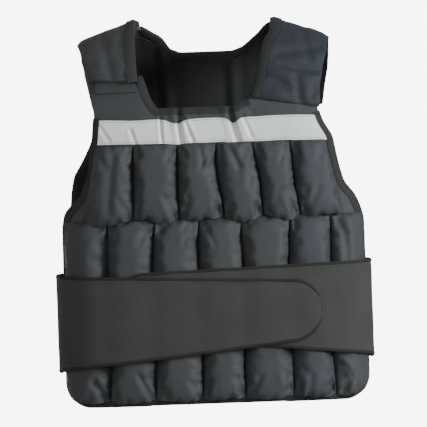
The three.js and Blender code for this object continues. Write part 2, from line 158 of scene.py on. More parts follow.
def rise_at(x):
    return SHOULDER_RISE - SHOULDER_FALL * np.maximum(np.abs(x) - NECK_HALF_WIDTH, 0)


def torso(x, turn):
    """Turn runs up the front (negative), over the shoulder (0 to pi) and down the back."""
    over = np.clip(turn, 0, math.pi)
    climb = np.sin(over) + np.minimum(turn, 0) - np.maximum(turn - math.pi, 0)
    return np.stack([x, -depth_at(x) * np.cos(over), rise_at(x) * climb - SHOULDER_RISE], -1)


def lay(x, turn, lift):
    """Points at a lift above the torso surface."""
    x, turn, lift = np.broadcast_arrays(x, turn, lift)
    across = torso(x + 4e-4, turn) - torso(x - 4e-4, turn)
    along = torso(x, turn + 2e-3) - torso(x, turn - 2e-3)
    out = np.cross(across, along)
    out /= np.linalg.norm(out, axis=-1, keepdims=True)
    return torso(x, turn) + out * lift[..., None]


def front_turn(x, z):
    """Turn at which the front of the torso surface has a height."""
    share = (z + SHOULDER_RISE) / rise_at(x)
    return np.where(share < 0, share, np.arcsin(np.clip(share, 0, 1)))


def back_turn(x, z):
    return math.pi - front_turn(x, z)


def edge_at(column, z):
    """Half width of a panel at a height, with its hem corners rounded."""
    half = BACK_HALF_WIDTH if column.startswith("back") else HEM_HALF_WIDTH
    above = np.maximum(HEM_CORNER - (z - HEM_Z), 0)
    corner = HEM_CORNER - np.sqrt(np.maximum(HEM_CORNER**2 - above**2, 0))
    return half * read(SIDE_OUTLINE, "drop", column, z / HEM_Z, 0.01) - corner


# Run round the torso section, from the front centre to the back centre
ANGLES = np.linspace(0, math.pi, 1441)
SECTION_X = BODY_HALF_WIDTH * np.abs(np.sin(ANGLES)) ** (2 / SECTION_POWER)
SECTION_Y = -BODY_HALF_DEPTH * np.sign(np.cos(ANGLES)) * np.abs(np.cos(ANGLES)) ** (2 / SECTION_POWER)
SECTION_RUN = np.concatenate([[0], np.cumsum(np.hypot(np.diff(SECTION_X), np.diff(SECTION_Y)))])
HALF_GIRTH = SECTION_RUN[-1]


def x_of_run(run):
    front = SECTION_RUN < HALF_GIRTH * 0.49
    return np.sign(run) * np.interp(np.abs(run), SECTION_RUN[front], SECTION_X[front])


def run_of_x(x):
    front = SECTION_RUN < HALF_GIRTH * 0.49
    return np.sign(x) * np.interp(np.abs(x), SECTION_X[front], SECTION_RUN[front])


def creased(x, z, creases):
    """Depth pressed into cloth by creases, each a line with a depth and a width, and its raised banks."""
    pressed = np.zeros_like(x)
    for (x1, z1), (x2, z2), deep, wide in creases:
        span = np.array([x2 - x1, z2 - z1])
        share = ((x - x1) * span[0] + (z - z1) * span[1]) / (span @ span)
        along = np.clip(share, 0, 1)
        away = np.hypot(x - x1 - along * span[0], z - z1 - along * span[1])
        fade = np.clip(1.3 - np.abs(2 * share - 1) ** 4 * 0.6, 0, 1)
        pressed -= deep * fade * np.exp(-((away / wide) ** 2))
        pressed += 0.35 * deep * fade * np.exp(-(((away - 1.9 * wide) / wide) ** 2))
    return pressed


def ripple(x, z, wave, seed):
    """Soft, even unevenness of hand-sewn cloth, from a few crossed waves."""
    rng = np.random.default_rng(seed)
    total = np.zeros_like(x)
    for _ in range(6):
        way = rng.uniform(0, math.tau)
        pitch = wave * rng.uniform(0.7, 1.6)
        phase = rng.uniform(0, math.tau)
        total += np.sin((x * math.cos(way) + z * math.sin(way)) * math.tau / pitch + phase)
    return total / 6


# Materials


def linear(hex_colour):
    """A sRGB hex colour as a linear one."""
    parts = [int(hex_colour[i : i + 2], 16) / 255 for i in (1, 3, 5)]
    return tuple(c / 12.92 if c <= 0.04045 else ((c + 0.055) / 1.055) ** 2.4 for c in parts) + (1.0,)


def add_node(tree, kind, inputs=None, **settings):
    """Adds a node with its settings and, for each input, a value or a link."""
    made = tree.nodes.new(kind)
    for name, value in settings.items():
        setattr(made, name, value)
    for key, value in (inputs or {}).items():
        if isinstance(value, bpy.types.NodeSocket):
            tree.links.new(value, made.inputs[key])
        else:
            made.inputs[key].default_value = value
    return made


def new_material(name):
    material = bpy.data.materials.new(name)
    material.use_nodes = True
    tree = material.node_tree
    tree.nodes.clear()
    return material, tree


# Scales of the noise over a piece's metres: worn patches about 40 mm wide, and fuzz of about 1 mm
PATCH_SCALE = 26.0
FUZZ_SCALE = 900.0


def woven(name, colour, worn, thread, roughness, sheen, relief, mottle=0.35, shine=0.22):
    """Woven cloth: crossed threads from two wave textures over the piece's own flat metres."""
    material, tree = new_material(name)
    flat = add_node(tree, "ShaderNodeUVMap", uv_map="flat").outputs[0]
    place = add_node(tree, "ShaderNodeTexCoord").outputs["Object"]
    bands = {"Vector": flat, "Scale": 2 / (thread * 6.2832), "Distortion": 0.6, "Detail Scale": 40.0}
    weft = add_node(tree, "ShaderNodeTexWave", bands, bands_direction="X").outputs["Fac"]
    warp = add_node(tree, "ShaderNodeTexWave", bands, bands_direction="Y").outputs["Fac"]
    threads = add_node(tree, "ShaderNodeMath", {0: weft, 1: warp}, operation="MULTIPLY").outputs[0]
    cloud = add_node(tree, "ShaderNodeTexNoise", {
        "Vector": place, "Scale": PATCH_SCALE, "Detail": 5.0, "Roughness": 0.6}).outputs["Fac"]
    fuzz = add_node(tree, "ShaderNodeTexNoise", {
        "Vector": place, "Scale": FUZZ_SCALE, "Detail": 2.0}).outputs["Fac"]
    spread = add_node(tree, "ShaderNodeMapRange", {
        "Value": cloud, "From Min": 0.3, "From Max": 0.75, "To Min": 0.0, "To Max": mottle}).outputs[0]
    toned = add_node(tree, "ShaderNodeMix", {
        0: spread, 6: linear(colour), 7: linear(worn)}, data_type="RGBA").outputs[2]
    lit = add_node(tree, "ShaderNodeMapRange", {
        "Value": threads, "To Min": 0.86, "To Max": 1.12}).outputs[0]
    shade = add_node(tree, "ShaderNodeVectorMath", {0: toned, "Scale": lit}, operation="SCALE").outputs[0]
    height = add_node(tree, "ShaderNodeMath", {
        0: fuzz, 1: 0.35, 2: threads}, operation="MULTIPLY_ADD").outputs[0]
    bump = add_node(tree, "ShaderNodeBump", {
        "Strength": relief, "Distance": thread * 0.5, "Height": height}).outputs[0]
    cloth = add_node(tree, "ShaderNodeBsdfPrincipled", {
        "Base Color": shade, "Roughness": roughness, "IOR": 1.53, "Specular IOR Level": shine,
        "Normal": bump, "Sheen Weight": sheen, "Sheen Roughness": 0.45, "Sheen Tint": linear(worn)})
    add_node(tree, "ShaderNodeOutputMaterial", {"Surface": cloth.outputs[0]})
    return material


# Polyester oxford, plain woven and coated on the back: a matt grey-black with a faint sheen on its folds.
# Its threads lie 0.5 mm apart and are drawn at 1.1 mm so that they show.
OXFORD_WEAVE = {"thread": 0.0011, "roughness": 0.66, "sheen": 0.06, "relief": 0.35}
oxford = woven("polyester_oxford_woven", "#2b2d2f", "#3b3e40", **OXFORD_WEAVE)
# The same oxford in a bluer tint, on one strap: painted light, standing for the light that falls on the right
# side.
oxford_painted_lit_blue = woven("polyester_oxford_painted_light_tint_blue", "#191d24", "#252b36", **OXFORD_WEAVE)
# The same oxford in a tint between the two, on one pocket of each row: painted light, standing for the light
# that falls on the right side.
oxford_painted_lit_slate = woven("polyester_oxford_painted_light_tint_slate", "#292b30", "#373b42", **OXFORD_WEAVE)
# Nylon loop cloth, knitted and brushed, that hook tape grips: flat, dull and slightly olive.
loop_cloth = woven("nylon_loop_brushed", "#2a2c2a", "#353734",
                   thread=0.0009, roughness=0.9, sheen=0.08, relief=0.2, mottle=0.5)
# Polyester spacer knit on the inside: near black, no shine.
spacer_knit = woven("polyester_spacer_knit", "#1b1f1c", "#262a27",
                    thread=0.0024, roughness=0.95, sheen=0.05, relief=0.6)
# Grosgrain tape, woven with ribs across: darker and flatter than the cloth that it binds.
grosgrain = woven("polyester_grosgrain_woven", "#1b1d1e", "#26282a",
                  thread=0.0012, roughness=0.75, sheen=0.05, relief=0.5)
# Polyester sewing thread, twisted and bonded: round and slightly glossy.
thread = woven("polyester_thread_twisted", "#2b2d2f", "#4b4e50",
               thread=0.0004, roughness=0.5, sheen=0.2, relief=0.2)
# Polyester overlock thread, wound round the belt's edges: darker and tighter than its cloth.
edge_thread = woven("polyester_overlock_wound", "#161715", "#20211f",
                    thread=0.0010, roughness=0.8, sheen=0.05, relief=0.6)
# Glass bead tape, beads bonded to cloth: pale silver grey, evenly dull, brighter where it faces the light.
bead_tape = woven("glass_bead_tape_bonded", "#b2b5b6", "#c4c6c7",
                  thread=0.0008, roughness=0.42, sheen=0.05, relief=0.12, mottle=0.5, shine=0.5)

# Meshes


def grid_faces(rows, columns, start=0):
    low = (np.arange(rows - 1)[:, None] * columns + np.arange(columns - 1)).ravel() + start
    return np.stack([low, low + 1, low + 1 + columns, low + columns], -1)


def rim_faces(rows, columns):
    """Faces that close the border between an outer grid and an inner grid of the same size."""
    top = (rows - 1) * columns
    loop = list(range(columns)) + [r * columns + columns - 1 for r in range(1, rows)]
    loop += [top + c for c in range(columns - 2, -1, -1)] + [r * columns for r in range(rows - 2, 0, -1)]
    one = np.array(loop)
    two = np.roll(one, -1)
    layer = rows * columns
    return np.stack([one + layer, two + layer, two, one], -1)


def make_piece(name, outer, inner, flat, material, sharp=50):
    """A closed piece of cloth from its outer and inner faces, with its flat size in metres as UV."""
    rows, columns = outer.shape[:2]
    points = np.concatenate([outer.reshape(-1, 3), inner.reshape(-1, 3)])
    back = grid_faces(rows, columns, rows * columns)[:, ::-1]
    faces = np.concatenate([grid_faces(rows, columns), back, rim_faces(rows, columns)])
    uv = np.concatenate([flat.reshape(-1, 2)] * 2)
    return finish_piece(name, points, faces.tolist(), uv, material, sharp)


def finish_piece(name, points, faces, uv, material, sharp=50):
    mesh = bpy.data.meshes.new(name)
    mesh.from_pydata(points.tolist(), [], faces)
    layer = mesh.uv_layers.new(name="flat")
    corners = np.zeros(len(mesh.loops), np.int32)
    mesh.loops.foreach_get("vertex_index", corners)
    layer.data.foreach_set("uv", uv[corners].astype(np.float32).ravel())
    mesh.shade_smooth()
    mesh.set_sharp_from_angle(angle=math.radians(sharp))
    mesh.materials.append(material)
    piece = bpy.data.objects.new(name, mesh)
    scene.collection.objects.link(piece)
    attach(piece, "root")
    return piece


def flat_of(points):
    """Flat metres of a grid: the run along its rows and columns."""
    across = np.linalg.norm(np.diff(points, axis=1), axis=-1)
    along = np.linalg.norm(np.diff(points, axis=0), axis=-1)
    u = np.concatenate([np.zeros((points.shape[0], 1)), np.cumsum(across, 1)], 1)
    v = np.concatenate([np.zeros((1, points.shape[1])), np.cumsum(along, 0)], 0)
    return np.stack([u - u.mean(1, keepdims=True), v], -1)


def run_along(points):
    """Distance along a line of points, at each point."""
    return np.concatenate([[0], np.cumsum(np.linalg.norm(np.diff(points, axis=0), axis=-1))])


def tube_faces(rows, columns):
    """Faces of a tube of rings, with its two ends closed."""
    faces = []
    for r in range(rows - 1):
        for c in range(columns):
            n = (c + 1) % columns
            faces.append([r * columns + c, (r + 1) * columns + c, (r + 1) * columns + n, r * columns + n])
    last = (rows - 1) * columns
    return faces + [list(range(columns)), [last + c for c in range(columns - 1, -1, -1)]]


def steps(count):
    return np.linspace(0, 1, count + 1)


# Panels

# Middle of the band that folds between the neckline and the first row, and half its height and its width
CHEST_BAND_Z = -0.140
CHEST_BAND_HIGH = 0.026
CHEST_BAND_WIDE = 0.15
# Greatest depth of a fold and height of a puff there
FOLD_DEPTH = 0.0044
PUFF_HEIGHT = 0.0026
# Pleats and dents of the chest, from the photo, as a line, a depth and a width in metres
CHEST_CREASES = [
    ((-0.042, -0.106), (-0.037, -0.168), 0.0060, 0.0036),
    ((0.026, -0.104), (0.041, -0.168), 0.0072, 0.0042),
    ((-0.152, -0.129), (-0.134, -0.158), 0.0024, 0.0026),
    ((-0.106, -0.142), (-0.099, -0.164), 0.0022, 0.0026),
    ((-0.065, -0.127), (-0.064, -0.162), 0.0028, 0.0022),
    ((-0.036, -0.124), (-0.021, -0.162), 0.0030, 0.0026),
    ((-0.030, -0.110), (-0.012, -0.124), 0.0014, 0.0034),
    ((0.045, -0.112), (0.062, -0.124), 0.0014, 0.0034),
    ((0.010, -0.110), (0.024, -0.120), 0.0012, 0.0034),
    ((0.046, -0.128), (0.060, -0.160), 0.0015, 0.0026),
    ((0.085, -0.118), (0.120, -0.122), 0.0012, 0.0040),
    ((-0.120, -0.108), (-0.075, -0.120), 0.0014, 0.0045),
]


def chest_lift(x, z):
    """Folds of the band between the neckline and the first row, which puffs up between them."""
    band = np.exp(-(((z - CHEST_BAND_Z) / CHEST_BAND_HIGH) ** 4)) * np.exp(-((x / CHEST_BAND_WIDE) ** 6))
    lift = creased(x, z, CHEST_CREASES) + 0.0014 + 0.0010 * ripple(x, z, 0.045, 3)
    return band * np.clip(lift, -FOLD_DEPTH, PUFF_HEIGHT)


def front_place(u, v):
    """Across from left to right and up from the hem to the neckline and the ears."""
    neck_left = edge_at("left", FRONT_NECK_Z)
    neck_right = edge_at("right", FRONT_NECK_Z)
    rise = read(FRONT_NECKLINE, "at", "rise", mix(-neck_left, neck_right, u) / NECK_HALF_WIDTH, 0.03)
    z = mix(HEM_Z, mix(FRONT_NECK_Z, EAR_TOP_Z, rise), v)
    x = mix(-edge_at("left", z), edge_at("right", z), u)
    return x, front_turn(x, z)


def front_panel():
    u, v = np.meshgrid(steps(170), steps(150) ** 0.9)
    x, turn = front_place(u, v)
    z = torso(x, turn)[..., 2]
    outer = lay(x, turn, PANEL_THICK + chest_lift(x, z))
    panel = make_piece("front_panel_cloth", outer, lay(x, turn, 0), flat_of(outer), oxford)
    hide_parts("front_panel")


def back_top_turn(x):
    """Turn of the back panel's top edge, from the neckline up to the shoulders."""
    rise = read(BACK_NECKLINE, "at", "rise", x / NECK_HALF_WIDTH, 0.03)
    return mix(back_turn(x, BACK_NECK_Z), math.pi / 2 + 0.05, rise)


def back_place(u, v):
    """Across from left to right and down from the top edge to the hem."""
    half_top = edge_at("back_left", BACK_NECK_Z)
    top_x = mix(-half_top, half_top, u)
    z = mix(torso(top_x, back_top_turn(top_x))[..., 2], HEM_Z, v)
    x = mix(-edge_at("back_left", z), edge_at("back_right", z), u)
    return x, np.maximum(back_turn(x, z), back_top_turn(x))


# Two soft folds down the lining, its thickness, and how far it stops short of the panel's edges, as a share
LINING_FOLDS = [
    ((-0.060, -0.02), (-0.052, -0.24), 0.004, 0.007),
    ((0.036, -0.03), (0.040, -0.22), 0.004, 0.007),
]
LINING_THICK = 0.001
LINING_INSET = 0.013


def back_panel():
    u, v = np.meshgrid(steps(130), steps(130))
    x, turn = back_place(u, v)
    outer = lay(x, turn, PANEL_THICK + 0.0008 * ripple(x, turn * SHOULDER_RISE, 0.09, 5))
    panel = make_piece("back_panel_cloth", outer, lay(x, turn, 0), flat_of(outer), oxford)
    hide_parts("back_panel")
    within = mix(LINING_INSET, 1 - LINING_INSET, steps(130))
    u, v = np.meshgrid(within, within)
    x, turn = back_place(u, v)
    z = torso(x, turn)[..., 2]
    slack = 0.0009 * (1 + ripple(x, turn * SHOULDER_RISE, 0.06, 8)) + 0.002
    slack = slack - np.clip(creased(x, z, LINING_FOLDS), -0.004, 0.002)
    shell = lay(x, turn, -LAYER_GAP - slack)
    inner = lay(x, turn, -LAYER_GAP - LINING_THICK - slack)
    lining = make_piece("back_lining_knit", shell, inner, flat_of(shell), spacer_knit)
    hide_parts("back_lining")


# Straps

# Wrinkles of the straps, from the photo, as a line, a depth and a width
LEFT_STRAP_CREASES = [
    ((-0.168, -0.062), (-0.105, -0.071), 0.0018, 0.0052),
    ((-0.138, -0.020), (-0.128, -0.078), 0.0015, 0.0062),
    ((-0.168, -0.038), (-0.128, -0.030), 0.0015, 0.0060),
]
RIGHT_STRAP_CREASES = [
    ((0.098, -0.062), (0.150, -0.074), 0.0026, 0.0052),
    ((0.074, -0.074), (0.112, -0.096), 0.0024, 0.0056),
    ((0.120, -0.078), (0.126, -0.118), 0.0021, 0.0056),
    ((0.092, -0.050), (0.160, -0.040), 0.0019, 0.0066),
    ((0.138, -0.110), (0.156, -0.086), 0.0017, 0.0066),
    ((0.130, -0.022), (0.140, -0.060), 0.0019, 0.0060),
]


def strap_place(strap, u, v):
    """Across from the strap's inner edge to its outer one, along from front end to back end."""
    side = strap["side"]
    inner = NECK_HALF_WIDTH * read(strap, "along", "inner", v, 0.02)
    width = STRAP_WIDTH * read(strap, "along", "width", v, 0.02)
    x = side * (inner + u * width)
    return x, mix(front_turn(x, -strap["drop"] - strap["slant"] * u), back_turn(x, -BACK_STRAP_DROP), v)


def strap(name, creases, material):
    shape = STRAPS[name]
    u, v = np.meshgrid(steps(44), steps(170))
    if shape["side"] < 0:
        u = u[:, ::-1]
    x, turn = strap_place(shape, u, v)
    z = np.where(turn < math.pi / 2, torso(x, turn)[..., 2], 0.5)
    crown = 1 - 0.45 * np.abs(2 * u - 1) ** 7 - 0.45 * np.exp(-v / 0.008) - 0.45 * np.exp(-(1 - v) / 0.008)
    lift = STRAP_LOW + shape["thick"] * np.clip(crown, 0.2, 1)
    lift += creased(x, z, creases) + 0.0015 * ripple(x, turn * SHOULDER_RISE, 0.04, 11 + shape["side"])
    outer = lay(x, turn, lift)
    piece = make_piece(f"strap_{name}_pad", outer, lay(x, turn, STRAP_LOW), flat_of(outer), material)
    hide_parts(f"strap_{name}")


# Pockets

# Cloth simulation: its frames, the cloth's surplus as a share, the pressure from inside and the cells
SWELL_FRAMES = 24
EXTRA_CLOTH = 0.035
PRESSURE = 5.0
CELLS_ACROSS = 24
CELL_HEIGHT = 0.0026
# Least distance of a pocket from the panel's edge
EDGE_GAP = 0.002
# How far the seams stray from their lines
SEAM_DRIFT = 0.0018
# Shape that the cloth starts from: depth in the middle of a pocket, and of the tucks along its foot and top
START_DEPTH = 0.0182
TUCK_DEPTH = 0.0016
# How steeply it rises from the seams beside it and from those at its foot and top: 0 would be upright
SIDE_RISE = 0.48
END_RISE = 0.38
# Greatest depth of a pocket, how softly the cloth is held back there, and the least depth
DEPTH_LIMIT = POCKET_DEPTH - 0.0012
SOFT_STOP = 0.0016
LEAST_DEPTH = 0.0002
# How flat the held back faces are, and how far the row above presses the top of a pocket in, as a share
FLATNESS = 1.2
PRESSED_TOP = 0.35
# Depth below which creases fade, and the depth that they leave
CREASE_FADE = 0.006
CREASE_LEAST = 0.0015
# Pocket of each row, right of the middle where the light falls, that gets the slate copy of the oxford, whose
# tint is painted light
PAINTED_LIT_POCKET = 6


def swell(name, run, z, start, pinned):
    """Lets cloth that is held at its seams and cut a little too large swell and wrinkle."""
    rows, columns = run.shape
    points = np.stack([run, -start, z], -1).reshape(-1, 3)
    mesh = bpy.data.meshes.new(name)
    mesh.from_pydata(points.tolist(), [], grid_faces(rows, columns).tolist())
    piece = bpy.data.objects.new(name, mesh)
    scene.collection.objects.link(piece)
    seams = piece.vertex_groups.new(name="seams")
    seams.add(np.flatnonzero(pinned.ravel()).tolist(), 1.0, "REPLACE")
    cloth = piece.modifiers.new("Cloth", "CLOTH")
    cloth.settings.quality = 7
    cloth.settings.mass = 0.25
    cloth.settings.tension_stiffness = 18
    cloth.settings.compression_stiffness = 18
    cloth.settings.shear_stiffness = 6
    cloth.settings.bending_stiffness = 2.0
    cloth.settings.vertex_group_mass = "seams"
    cloth.settings.use_pressure = True
    cloth.settings.uniform_pressure_force = PRESSURE
    cloth.settings.shrink_min = -EXTRA_CLOTH
    cloth.settings.effector_weights.gravity = 0
    cloth.collision_settings.use_collision = False
    for number in range(1, SWELL_FRAMES + 1):
        scene.frame_set(number)
    swollen = piece.evaluated_get(bpy.context.evaluated_depsgraph_get()).to_mesh()
    found = np.zeros(len(points) * 3, np.float32)
    swollen.vertices.foreach_get("co", found)
    bpy.data.objects.remove(piece)
    bpy.data.meshes.remove(mesh)
    scene.frame_set(1)
    found = found.reshape(rows, columns, 3).astype(float)
    return found[..., 0], found[..., 2], -found[..., 1]


# How far the weights pull each row's foot down over the row below
SAG = {"upper": 0.017, "middle": 0.008, "lower": 0.010}

# Folds that the photo shows on single pockets, as a line across and up, a depth and a width
POCKET_FOLDS = {
    "upper": [
        ((-0.128, -0.175), (-0.136, -0.250), 0.0024, 0.0050),
        ((0.028, -0.172), (0.040, -0.200), 0.0028, 0.0040),
        ((0.060, -0.185), (0.052, -0.225), 0.0018, 0.0046),
        ((-0.012, -0.170), (-0.010, -0.196), 0.0022, 0.0036),
    ],
    "middle": [
        ((0.170, -0.268), (0.174, -0.335), 0.0034, 0.0048),
        ((-0.098, -0.266), (-0.082, -0.292), 0.0026, 0.0040),
        ((0.046, -0.268), (0.034, -0.290), 0.0026, 0.0038),
        ((-0.030, -0.266), (-0.040, -0.286), 0.0024, 0.0036),
    ],
    "lower": [
        ((-0.170, -0.512), (-0.160, -0.478), 0.0022, 0.0042),
        ((0.120, -0.510), (0.126, -0.480), 0.0022, 0.0040),
    ],
}


def corner_creases(rng, row, seams, z):
    """Creases that the weights pull into each pocket from its four corners, and the row's single folds."""
    creases = [((run_of_x(x1), z1), (run_of_x(x2), z2), deep, wide)
               for (x1, z1), (x2, z2), deep, wide in POCKET_FOLDS[row]]
    for n in range(len(seams) - 1):
        for seam, side in ((seams[n], 1), (seams[n + 1], -1)):
            for end, up in ((0, 1), (-1, -1)):
                for _ in range(2 if up > 0 else 1):
                    long, lean = rng.uniform(0.016, 0.038), rng.uniform(0.1, 0.6)
                    start = (seam[end] + side * 0.0035, z[end] + up * 0.001)
                    finish = (start[0] + side * long * lean, start[1] + up * long)
                    deep, wide = rng.uniform(0.0010, 0.0026), rng.uniform(0.0028, 0.0046)
                    creases.append((start, finish, deep, wide))
    return creases


def held_back(lift):
    """Swollen cloth held back at the greatest depth, which makes its face flat and its sides steep."""
    lift = lift - SOFT_STOP * np.log1p(np.exp((lift - DEPTH_LIMIT) / SOFT_STOP))
    return DEPTH_LIMIT * np.tanh(FLATNESS * lift / DEPTH_LIMIT) / math.tanh(FLATNESS)


def add_pocket(name, face, foot, cloth):
    """One pocket, from its face (run, height and lift) and its place on the panel (run and height)."""
    base = PANEL_THICK + LAYER_GAP
    x = x_of_run(face[0])
    outer = lay(x, front_turn(x, face[1]), base + np.maximum(face[2], LEAST_DEPTH))
    x = x_of_run(foot[0])
    inner = lay(x, front_turn(x, foot[1]), np.full(x.shape, base))
    pocket = make_piece(f"{name}_cloth", outer, inner, np.stack(foot, -1), cloth, 70)
    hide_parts(name)


def pocket_row(row, seams, half_width, seed):
    """A row of pockets between seams that are set out at the row's foot and top."""
    count = len(seams["top"]) - 1
    foot, top = ROW_FEET[row], ROW_TOPS[row]
    lines = int(round((top - foot) / CELL_HEIGHT))
    v = steps(lines)
    z = mix(foot, top, v)
    at = np.array([mix(seams["foot"][k], seams["top"][k], v) * half_width for k in range(count + 1)])
    rng = np.random.default_rng(seed)
    drift = rng.uniform(-1, 1, (count + 1, 2, 1))
    drift[[0, -1]] = 0
    at = at + SEAM_DRIFT * drift[:, 0] * np.sin(v[None, :] * 5 + 3 * drift[:, 1])
    plump = 1 + rng.uniform(-0.1, 0.06, count)
    at = np.clip(at, EDGE_GAP - edge_at("left", z), edge_at("right", z) - EDGE_GAP)
    at = run_of_x(at)
    across = np.linspace(0, count, count * CELLS_ACROSS + 1)
    run = np.array([np.interp(across, np.arange(count + 1), at[:, i]) for i in range(len(v))])
    z = np.repeat(z[:, None], run.shape[1], 1)
    within = across % 1
    bulge = np.sin(math.pi * within)[None, :] ** SIDE_RISE * np.sin(math.pi * v)[:, None] ** END_RISE
    gather = np.exp(-v / 0.10)[:, None] + 0.7 * np.exp(-(1 - v) / 0.07)[:, None]
    tucks = np.sin(across * math.tau * 3.5 + 1.3 * np.sin(across * 2.1 + seed))[None, :] * gather
    pinned = np.zeros(run.shape, bool)
    pinned[:, ::CELLS_ACROSS] = True
    pinned[0] = pinned[-1] = True
    start = START_DEPTH * bulge * (1 + 0.10 * ripple(run, z, 0.05, seed))
    start = start + TUCK_DEPTH * tucks * np.sqrt(bulge)
    start = start * np.interp(across, np.arange(count) + 0.5, plump)[None, :]
    start[pinned] = 0
    wide, tall, lift = swell(row, run, z, start, pinned)
    side = (HEM_HALF_WIDTH - np.abs(x_of_run(run))) / SIDE_TAPER
    lift = held_back(lift)
    if row != "upper":
        lift = lift * (1 - PRESSED_TOP * np.exp(-(1 - v) / 0.07))[:, None]
    fill = np.interp(side, SIDE_FILL["at"], SIDE_FILL["fill"])
    lift = lift * fill
    tucked = creased(run, z, corner_creases(rng, row, at, mix(foot, top, v)))
    tucked = tucked * np.clip(lift / CREASE_FADE, 0, 1)
    lift = np.maximum(lift + tucked, np.minimum(lift, CREASE_LEAST))
    uneven = 1 + 0.3 * np.sin(across * 4.3 + seed) + 0.08 * np.sin(across * 9.0 + 2 * seed)
    sag = (uneven * np.sin(math.pi * within) ** 0.42)[None, :] * np.exp(-v / 0.12)[:, None]
    tall = tall - SAG[row] * sag * fill * np.sqrt(bulge)
    for n in range(count):
        part = slice(n * CELLS_ACROSS, (n + 1) * CELLS_ACROSS + 1)
        face = (wide[:, part], tall[:, part], lift[:, part])
        # Painted light: one pocket of each row, on the lit right side, takes the slate tint.
        cloth = oxford_painted_lit_slate if n + 1 == PAINTED_LIT_POCKET else oxford
        add_pocket(f"pocket_{row}_{n + 1}", face, (run[:, part], z[:, part]), cloth)


# Strip and belt

STRIP_THICK = 0.0012
# How far the strip's ends stop short of the panel's edges
STRIP_INSET = 0.008
# Places where a fold draws the strip down: across, how far and how wide
STRIP_DIPS = ((-0.045, 0.0062, 0.013), (0.034, 0.0068, 0.008), (-0.100, 0.0012, 0.02), (0.11, -0.002, 0.05))
# How far it leans, as drop for each metre across
STRIP_TILT = 0.012


def strip_height(x, share):
    """Height of a line along the strip, which leans a little and is drawn down by the folds."""
    z = mix(STRIP_LOW_Z, STRIP_TOP_Z, share) - STRIP_TILT * x
    for place, deep, wide in STRIP_DIPS:
        z = z - deep * np.exp(-(((x - place) / wide) ** 2)) * mix(0.4, 1, share)
    return z + 0.0006 * ripple(x, z, 0.05, 17)


def reflective_strip():
    u, v = np.meshgrid(steps(220), steps(24))
    z = mix(STRIP_LOW_Z, STRIP_TOP_Z, v)
    x = mix(STRIP_INSET - edge_at("left", z), edge_at("right", z) - STRIP_INSET, u)
    z = strip_height(x, v)
    low = PANEL_THICK + LAYER_GAP + chest_lift(x, z)
    outer = lay(x, front_turn(x, z), low + STRIP_THICK)
    inner = lay(x, front_turn(x, z), low)
    strip = make_piece("reflective_strip_tape", outer, inner, flat_of(outer), bead_tape)
    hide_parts("reflective_strip")


# How far the belt sways in and out, how far it dips over a seam of the pockets and how far it stands off them
BELT_SWAY = 0.0005
BELT_DIP = 0.0015
BELT_STAND = 0.0007


def belt_lift(run):
    """Lift of the belt over the torso section: high over the pockets, low at the sides, flat on the back."""
    lifts = [BELT_BACK_LIFT if r is None else mix(BELT_SIDE_LIFT, BELT_FRONT_LIFT, r) for r in BELT_RISE]
    near = np.linspace(-0.02, 0.02, 7)
    return np.mean([np.interp(np.abs(run) / HALF_GIRTH + d, BELT_AROUND, lifts) for d in near], axis=0)


def belt_point(side, run, z, lift):
    """Point at a run round the section from the front centre, a height and a lift."""
    x = np.sign(run) * np.interp(np.abs(run), SECTION_RUN, SECTION_X)
    y = np.interp(np.abs(run), SECTION_RUN, SECTION_Y)
    out = np.stack([
        np.sign(x) * (np.abs(x) / BODY_HALF_WIDTH) ** (SECTION_POWER - 1) / BODY_HALF_WIDTH,
        np.sign(y) * (np.abs(y) / BODY_HALF_DEPTH) ** (SECTION_POWER - 1) / BODY_HALF_DEPTH,
        np.zeros_like(x),
    ], -1)
    out /= np.linalg.norm(out, axis=-1, keepdims=True)
    point = np.stack([x, y, z], -1) + out * (belt_lift(run) + lift)[..., None]
    return point * (side, 1, 1)


def wing_place(wing, run, v, lift):
    """Along the run from the back centre to the rounded tip, across from the lower edge to the upper."""
    side_run = HALF_GIRTH / 2
    tip_run = -wing["reach"]
    taper = np.clip((side_run - run) / (side_run - tip_run), 0, 1)
    centre = ROW_TOPS["lower"] + BELT_WIDTH * mix(wing["lean"][0], wing["lean"][1], taper)
    half = mix(BELT_WIDTH, BELT_TIP_WIDTH, np.minimum(taper * 1.12, 1)) / 2
    radius = BELT_TIP_WIDTH / 2
    past = np.clip(tip_run + radius - run, 0, radius)
    half = half * np.sqrt(np.maximum(1 - (past / radius) ** 2, 0.002))
    stack = wing["layer"] * read(BELT_STACK, "around", "share", np.abs(run) / HALF_GIRTH)
    z = centre + mix(-half, half, v)
    return belt_point(wing["side"], run, z, lift + stack * (BELT_THICK + LAYER_GAP))


def belt_wing(name):
    wing = WINGS[name]
    tip_run = -wing["reach"]
    straight = mix(HALF_GIRTH - 0.0006, tip_run + BELT_TIP_WIDTH / 2, steps(260))
    rounding = tip_run + BELT_TIP_WIDTH / 2 * (1 - np.sin(steps(30)[1:-1] * math.pi / 2))
    runs = np.concatenate([straight, rounding, [tip_run + 0.0004]])
    if wing["side"] > 0:
        runs = runs[::-1]
    run, v = np.meshgrid(runs, steps(40))
    edge = np.minimum(v, 1 - v) * BELT_WIDTH
    sway = BELT_SWAY * ripple(run, v * BELT_WIDTH, 0.07, 21 + wing["layer"])
    seams = np.array(FULL_SEAMS["foot"][1:-1]) * HEM_HALF_WIDTH
    dips = sum(np.exp(-(((wing["side"] * run - seam) / 0.015) ** 2)) for seam in seams)
    front = np.clip((0.17 - np.abs(run)) / 0.02, 0, 1)
    body = (sway - BELT_DIP * dips * front + BELT_STAND * front) * np.clip(edge / 0.02, 0.35, 1)
    outer = wing_place(wing, run, v, body + BELT_THICK)
    inner = wing_place(wing, run, v, body)
    piece = make_piece(f"belt_{name}_wing", outer, inner, flat_of(outer), loop_cloth)
    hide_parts(f"belt_{name}")


# Bindings


